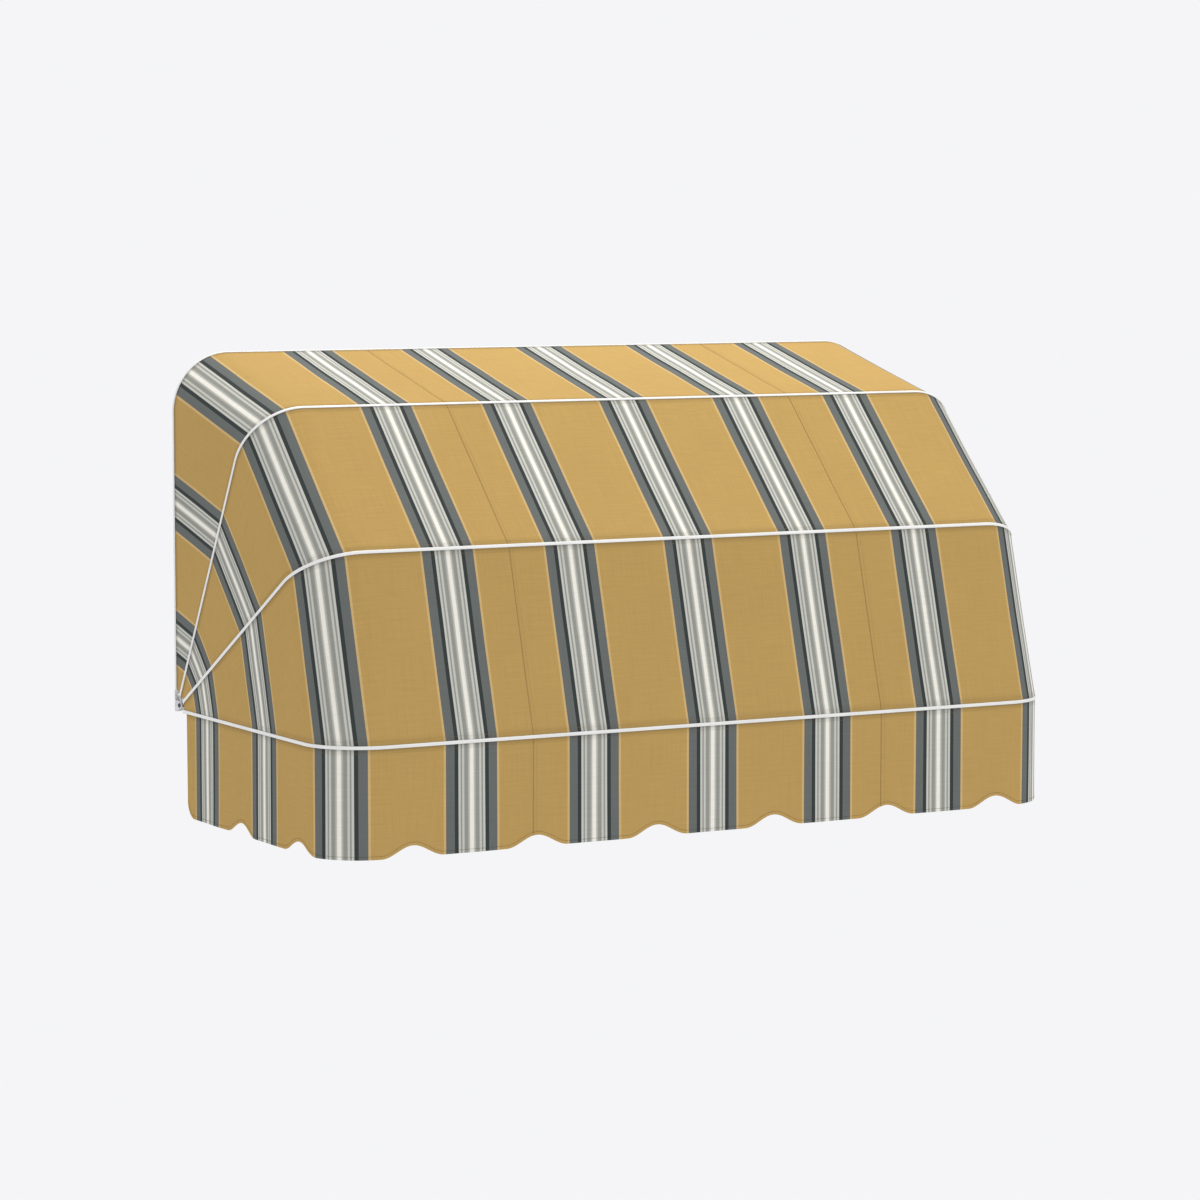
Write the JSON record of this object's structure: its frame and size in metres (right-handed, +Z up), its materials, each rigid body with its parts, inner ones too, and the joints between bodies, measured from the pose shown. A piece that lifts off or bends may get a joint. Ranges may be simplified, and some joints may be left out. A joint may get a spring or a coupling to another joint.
{
  "type": "window awning",
  "caption": "Folding basket awning for a window: striped cloth canopy with a scalloped valance on a wall hoop and three hinged bows.",
  "frame": {"origin": "middle of the wall hoop's top rail, on its back face against the wall", "axes": "+X along the width, to the right seen from the front; +Y into the wall, so the front faces -Y; +Z up"},
  "size_m": [2.5002, 1.0986, 1.3995],
  "materials": {
    "rail_aluminium": "satin",
    "awning_cloth": "matte",
    "bracket_casting": "satin",
    "bolt_steel": "satin",
    "zinc_steel": "satin",
    "spacer_nylon": "matte"
  },
  "bodies": {
    "wall_frame": {"wall_hoop": "rail_aluminium", "rear_panel": "awning_cloth", "hinge_bracket_left": "bracket_casting", "hinge_bolt_left": "bolt_steel", "hinge_nut_left": "zinc_steel", "spacer_outer_left": "spacer_nylon", "spacer_inner_left": "spacer_nylon", "rivet_hoop_left": "zinc_steel", "hinge_bracket_right": "bracket_casting", "hinge_bolt_right": "bolt_steel", "hinge_nut_right": "zinc_steel", "spacer_outer_right": "spacer_nylon", "spacer_inner_right": "spacer_nylon", "rivet_hoop_right": "zinc_steel"},
    "upper": {"upper_bow": "rail_aluminium", "middle_panel": "awning_cloth", "upper_lug_left": "zinc_steel", "rivet_upper_left": "zinc_steel", "upper_lug_right": "zinc_steel", "rivet_upper_right": "zinc_steel"},
    "middle": {"middle_bow": "rail_aluminium", "front_panel": "awning_cloth", "middle_lug_left": "zinc_steel", "rivet_middle_left": "zinc_steel", "middle_lug_right": "zinc_steel", "rivet_middle_right": "zinc_steel"},
    "front": {"front_bow": "rail_aluminium", "valance": "awning_cloth", "front_lug_left": "zinc_steel", "rivet_front_left": "zinc_steel", "front_lug_right": "zinc_steel", "rivet_front_right": "zinc_steel"}
  },
  "joints": [
    {"name": "upper_bow_fold", "type": "hinge", "parent": "wall_frame", "child": "upper", "pos_m": [0, -0.0386, -1.05275], "axis": [-1, 0, 0], "range_deg": [0, 30], "deforming": ["rear_panel"]},
    {"name": "middle_bow_fold", "type": "hinge", "parent": "upper", "child": "middle", "pos_m": [0, -0.0386, -1.05275], "axis": [-1, 0, 0], "range_deg": [0, 30], "deforming": ["middle_panel"]},
    {"name": "front_bow_fold", "type": "hinge", "parent": "middle", "child": "front", "pos_m": [0, -0.0386, -1.05275], "axis": [-1, 0, 0], "range_deg": [0, 30], "deforming": ["front_panel", "valance"]}
  ]
}
